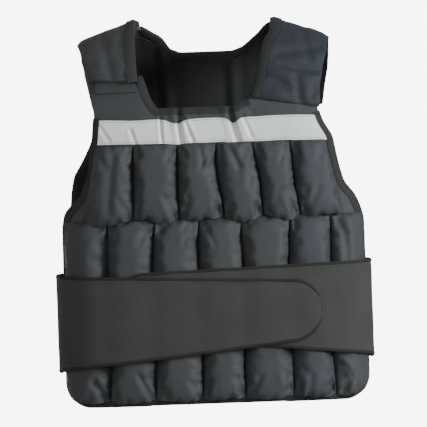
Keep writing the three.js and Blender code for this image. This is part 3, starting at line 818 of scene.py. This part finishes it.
def fold_tape(name, path_x, path_turn, profile, on_chest=False):
    """A tape folded over an edge: a closed profile of distance in from the edge and lift, swept along it."""
    x, turn = np.asarray(path_x), np.asarray(path_turn)
    over = (turn > 0) & (turn < math.pi)
    scale = np.where(over, np.hypot(rise_at(x) * np.cos(turn), depth_at(x) * np.sin(turn)), rise_at(x))
    dx, ds = np.gradient(x), np.gradient(turn) * scale
    size = np.hypot(dx, ds)
    inward = np.array([p[0] for p in profile])[None, :]
    lift = np.array([p[1] for p in profile])[None, :]
    at_x = x[:, None] - inward * (ds / size)[:, None]
    at_turn = turn[:, None] + inward * (dx / size / scale)[:, None]
    if on_chest:
        raised = chest_lift(at_x, torso(at_x, at_turn)[..., 2])
        lift = lift + raised * np.clip(lift / PANEL_THICK, 0, 1)
    points = lay(at_x, at_turn, np.broadcast_to(lift, at_x.shape))
    rows, columns = points.shape[:2]
    run = run_along(points[:, 0])
    across = np.linspace(0, 0.02, columns)
    uv = np.stack(np.broadcast_arrays(across[None, :], run[:, None]), -1).reshape(-1, 2)
    piece = finish_piece(name, points.reshape(-1, 3), tube_faces(rows, columns), uv, grosgrain)
    return piece


def fold_profile(width, low, high, thick=0.0009):
    """Outside and inside of a tape folded round an edge between two lifts."""
    middle = (low + high) / 2
    bend = 0.0022
    slip = 0.0001
    outside = [
        (width, high + thick), (0.001, high + thick), (-bend * 0.7, mix(middle, high, 0.7)), (-bend, middle),
        (-bend * 0.7, mix(middle, low, 0.7)), (0.001, low - thick), (width, low - thick),
    ]
    inside = [
        (width, low - slip), (-0.0006, low - slip), (-0.0006, high + slip), (width, high + slip),
    ]
    return outside + inside


def ways_along(points):
    """Way along a line of points, at each point."""
    way = np.gradient(points, axis=0)
    return way / np.linalg.norm(way, axis=-1, keepdims=True)


CORD_SIDES = 8


def edge_cord(name, points, out, wide, high, material):
    """Flattened overlock cord along a line of points, raised along its out directions."""
    way = ways_along(points)
    side = np.cross(way, out)
    side /= np.linalg.norm(side, axis=-1, keepdims=True)
    turns = np.arange(CORD_SIDES) / CORD_SIDES * math.tau
    ring = side[:, None] * (np.cos(turns) * wide / 2)[None, :, None]
    ring = ring + out[:, None] * (np.sin(turns) * high / 2)[None, :, None]
    body = (points[:, None] + ring).reshape(-1, 3)
    run = run_along(points)
    uv = np.stack(np.broadcast_arrays(turns[None, :] * wide / 3, run[:, None]), -1).reshape(-1, 2)
    cord = finish_piece(name, body, tube_faces(len(points), CORD_SIDES), uv, material)


# Corners of each face of one stitch
STITCH_FACES = (
    (0, 2, 1), (0, 3, 2), (1, 2, 5, 4), (2, 3, 6, 5), (4, 5, 7), (5, 6, 7), (0, 1, 4, 7), (0, 7, 6, 3),
)


def stitches(name, lines, pitch=0.0042, length=0.0031, width=0.0007):
    """Sewing thread along lines of points with their out directions: one small lozenge a stitch."""
    body, faces, uv = [], [], []
    for points, out in lines:
        run = run_along(points)
        at = np.arange(pitch, run[-1] - pitch / 2, pitch)
        place = np.stack([np.interp(at, run, points[:, k]) for k in range(3)], -1)
        up = np.stack([np.interp(at, run, out[:, k]) for k in range(3)], -1)
        up /= np.linalg.norm(up, axis=-1, keepdims=True)
        way = ways_along(place)
        side = np.cross(way, up)
        for p, u, w, s in zip(place, up, way, side):
            start = len(body)
            a, b, c = w * length / 2, s * width / 2, u * width * 0.45
            body += [p - a - c, p - a * 0.6 + b, p - a * 0.6 + c, p - a * 0.6 - b]
            body += [p + a * 0.6 + b, p + a * 0.6 + c, p + a * 0.6 - b, p + a - c]
            uv += [(0, 0), (width, 0.0004), (0, 0.0004), (width, 0.0004)]
            uv += [(width, length), (0, length), (width, length), (0, length)]
            for face in STITCH_FACES:
                faces.append([start + i for i in face])
    piece = finish_piece(name, np.array(body), faces, np.array(uv), thread)


def sewn_line(x, turn, lift):
    """A line of stitches on the torso surface, as points and out directions."""
    low, high = lay(x, turn, lift), lay(x, turn, np.asarray(lift) + 0.001)
    return low, (high - low) / 0.001


# How far in from the belt's edge its cord and its stitches run, and how wide and high the cord is
CORD_INSET = 0.0014
STITCH_INSET = 0.0060
CORD_WIDE = 0.0042
CORD_HIGH = 0.0012


def belt_edges():
    """Overlocked edge and one line of stitches round each wing, like the real belt's."""
    for name, wing in WINGS.items():
        tip_run = -wing["reach"]
        straight = mix(HALF_GIRTH * 0.995, tip_run + BELT_TIP_WIDTH / 2, steps(150))
        angles = steps(40)[1:-1] * math.pi
        for inset in (CORD_INSET, STITCH_INSET):
            share = 1 - 2 * inset / BELT_WIDTH
            radius = BELT_TIP_WIDTH / 2
            bend = tip_run + inset + radius - (radius - inset) * np.sin(angles)
            past = (tip_run + radius - bend) / radius
            bend_v = 0.5 + 0.5 * np.cos(angles) / np.sqrt(np.maximum(1 - past**2, 0.002))
            bend_v = np.clip(bend_v, 0.5 - share / 2, 0.5 + share / 2)
            run = np.concatenate([straight, bend, straight[::-1]])
            sides = np.full(straight.shape, share / 2)
            v = np.concatenate([0.5 + sides, bend_v, 0.5 - sides])
            low = wing_place(wing, run, v, np.full(run.shape, BELT_THICK))
            high = wing_place(wing, run, v, np.full(run.shape, BELT_THICK + 0.001))
            out = (high - low) / 0.001
            if inset == CORD_INSET:
                edge_cord(f"belt_{name}_edge", low, out, CORD_WIDE, CORD_HIGH, edge_thread)
            else:
                stitches(f"belt_{name}_stitches", [(low, out)])


def sewing():
    """Thread along both edges of the strip, and along the outer edge and the front end of each strap."""
    lines = []
    for share in (0.07, 0.93):
        z = np.full(200, mix(STRIP_LOW_Z, STRIP_TOP_Z, share))
        inset = STRIP_INSET + 0.002
        x = mix(inset - edge_at("left", z), edge_at("right", z) - inset, steps(199))
        z = strip_height(x, share)
        lines.append(sewn_line(x, front_turn(x, z), PANEL_THICK + LAYER_GAP + chest_lift(x, z) + 0.0013))
    stitches("reflective_strip_stitches", lines)
    for name, shape in STRAPS.items():
        v = mix(0.012, 0.985, steps(160))
        across = steps(30) * 0.86 + 0.08
        lines = []
        for u, along in ((np.full(v.shape, 0.925), v), (across, np.full(across.shape, 0.024))):
            x, turn = strap_place(shape, u, along)
            crown = 1 - 0.45 * np.abs(2 * u - 1) ** 7 - 0.45 * np.exp(-along / 0.008)
            lines.append(sewn_line(x, turn, STRAP_LOW + shape["thick"] * crown + 0.0006))
        stitches(f"strap_{name}_stitches", lines)


# Ends of the tab across and up, and its thickness
TAB_ACROSS = (-0.151, -0.097)
TAB_UP = (-0.0925, -0.074)
TAB_THICK = 0.0022


def strap_tab():
    """Thin hook tab that shows below the end of the left strap."""
    u, v = np.meshgrid(steps(40), steps(8))
    x = mix(*TAB_ACROSS, u)
    z = mix(*TAB_UP, v) + 0.0006 * ripple(x, x, 0.03, 41)
    low = PANEL_THICK + 0.0003
    outer = lay(x, front_turn(x, z), low + TAB_THICK + 0.0004 * ripple(x, z, 0.02, 42))
    inner = lay(x, front_turn(x, z), low)
    tab = make_piece("strap_left_tab", outer, inner, flat_of(outer), oxford)


# Height at which the tapes round the panels start, and the ends of the neck tapes across
TAPE_TOP_Z = -0.125
FRONT_TAPE_ENDS = (0.0555, -0.0909)
BACK_TAPE_ENDS = (-0.0885, 0.0885)


def bindings():
    """Tapes round both panels from armhole to armhole, along both necklines and inside both straps."""
    body = fold_profile(TAPE_WIDTH * 0.8, 0, PANEL_THICK)
    z = np.concatenate([np.linspace(TAPE_TOP_Z, HEM_Z + HEM_CORNER, 90),
                        HEM_Z + HEM_CORNER * (1 - np.sin(steps(24)[1:] * math.pi / 2))])
    sides = (("front", "left", "right", front_turn), ("back", "back_left", "back_right", back_turn))
    for name, left, right, turn_at in sides:
        left_x, right_x = -edge_at(left, z), edge_at(right, z)
        hem_x = mix(left_x[-1], right_x[-1], steps(100)[1:-1])
        x = np.concatenate([left_x, hem_x, right_x[::-1]])
        turn = turn_at(x, np.concatenate([z, np.full(hem_x.shape, HEM_Z), z[::-1]]))
        if name == "back":
            x, turn = x[::-1], turn[::-1]
        tape = fold_tape(f"edge_tape_{name}", x, turn, body, name == "front")
        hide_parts(f"edge_binding_{name}")
    x = np.linspace(*FRONT_TAPE_ENDS, 150)
    rise = read(FRONT_NECKLINE, "at", "rise", x / NECK_HALF_WIDTH, 0.03)
    tape = fold_tape("neck_tape_front", x, front_turn(x, mix(FRONT_NECK_Z, EAR_TOP_Z, rise)), body, True)
    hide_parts("neck_binding_front")
    x = np.linspace(*BACK_TAPE_ENDS, 150)
    tape = fold_tape("neck_tape_back", x, back_top_turn(x), body)
    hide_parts("neck_binding_back")
    for name, shape in STRAPS.items():
        pad = fold_profile(TAPE_WIDTH, STRAP_LOW + 0.001, STRAP_LOW + shape["thick"], 0.0012)
        x, turn = strap_place(shape, 0.0, steps(170))
        if name == "right":
            x, turn = x[::-1], turn[::-1]
        tape = fold_tape(f"strap_tape_{name}", x, turn, pad)
        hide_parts(f"strap_binding_{name}")


front_panel()
back_panel()
strap("left", LEFT_STRAP_CREASES, oxford)
# The right strap gets the bluer copy of the oxford, whose tint is painted light.
strap("right", RIGHT_STRAP_CREASES, oxford_painted_lit_blue)
pocket_row("upper", UPPER_SEAMS, UPPER_ROW_HALF, 31)
pocket_row("middle", FULL_SEAMS, HEM_HALF_WIDTH, 32)
pocket_row("lower", FULL_SEAMS, HEM_HALF_WIDTH, 33)
reflective_strip()
belt_wing("right")
belt_wing("left")
bindings()
belt_edges()
sewing()
strap_tab()

# Floor, light and camera

# Room that the vest hangs in: its radius, the bend at the foot of its wall, and the wall's and roof's heights
ROOM_RADIUS = 8.0
ROOM_BEND = 1.5
ROOM_WALL = 3.0
ROOM_ROOF = 5.0
# How far the floor lies below the hem
FLOOR_DROP = 0.25


def floor():
    """Pale paper room: a flat floor that curves up into a round wall and a roof, so every view is plain."""
    low = HEM_Z - FLOOR_DROP
    bends = steps(16) * math.pi / 2
    flat = ROOM_RADIUS - ROOM_BEND
    line = [(0.0, low), (flat, low)]
    line += [(flat + ROOM_BEND * math.sin(a), low + ROOM_BEND * (1 - math.cos(a))) for a in bends[1:]]
    line += [(ROOM_RADIUS * math.cos(a), ROOM_WALL + ROOM_ROOF * math.sin(a)) for a in bends]
    around = steps(64) * math.tau
    points = np.array([[(r * math.cos(a), r * math.sin(a), z) for a in around] for r, z in line])
    mesh = bpy.data.meshes.new("floor")
    mesh.from_pydata(points.reshape(-1, 3).tolist(), [], grid_faces(len(line), len(around)).tolist())
    mesh.shade_smooth()
    material, tree = new_material("paper_matt")
    paper = add_node(tree, "ShaderNodeBsdfPrincipled", {"Base Color": linear("#fafafa"), "Roughness": 0.9,
                     "Emission Color": linear("#ffffff"), "Emission Strength": 7.0})
    add_node(tree, "ShaderNodeOutputMaterial", {"Surface": paper.outputs[0]})
    mesh.materials.append(material)
    room = bpy.data.objects.new("floor", mesh)
    scene.collection.objects.link(room)
    room.visible_diffuse = False
    room.visible_glossy = False
    room.visible_shadow = False


def softbox(name, place, target, size, power):
    """Round soft light at a place, turned to a target."""
    light = bpy.data.lights.new(name, "AREA")
    light.shape = "DISK"
    light.size = size
    light.energy = power
    lamp = bpy.data.objects.new(name, light)
    lamp.location = place
    lamp.rotation_euler = (Vector(target) - Vector(place)).to_track_quat("-Z", "Y").to_euler()
    scene.collection.objects.link(lamp)


# Long lens from the front: its distance, the width that it sees there, its roll and what it looks at
CAMERA_DISTANCE = 5.0
FIELD = 0.588
CAMERA_ROLL = math.radians(2.04)
CAMERA_AIM = Vector((0.0025, -0.05, -0.2598))


def camera():
    lens = bpy.data.cameras.new("camera")
    lens.sensor_width = 36
    lens.lens = 36 * CAMERA_DISTANCE / FIELD
    lens.clip_end = 50
    eye = bpy.data.objects.new("camera", lens)
    upright = Matrix.Rotation(math.pi / 2, 4, "X")
    place = Matrix.Translation(CAMERA_AIM + Vector((0, -CAMERA_DISTANCE, 0)))
    eye.matrix_world = place @ upright @ Matrix.Rotation(-CAMERA_ROLL, 4, "Z")
    scene.collection.objects.link(eye)
    scene.camera = eye


floor()
middle = (0, 0, -0.25)
softbox("key", (2.3, -1.5, 0.25), middle, 0.9, 146)
softbox("fill", (-1.1, -2.9, 0.1), middle, 1.6, 44)
softbox("top", (0.2, -0.2, 1.9), middle, 1.2, 8)
softbox("back", (-0.5, 2.6, -0.1), middle, 1.6, 44)
world = bpy.data.worlds.new("studio")
world.use_nodes = True
world.node_tree.nodes["Background"].inputs["Color"].default_value = (1, 1, 1, 1)
world.node_tree.nodes["Background"].inputs["Strength"].default_value = 0.5
scene.world = world
camera()
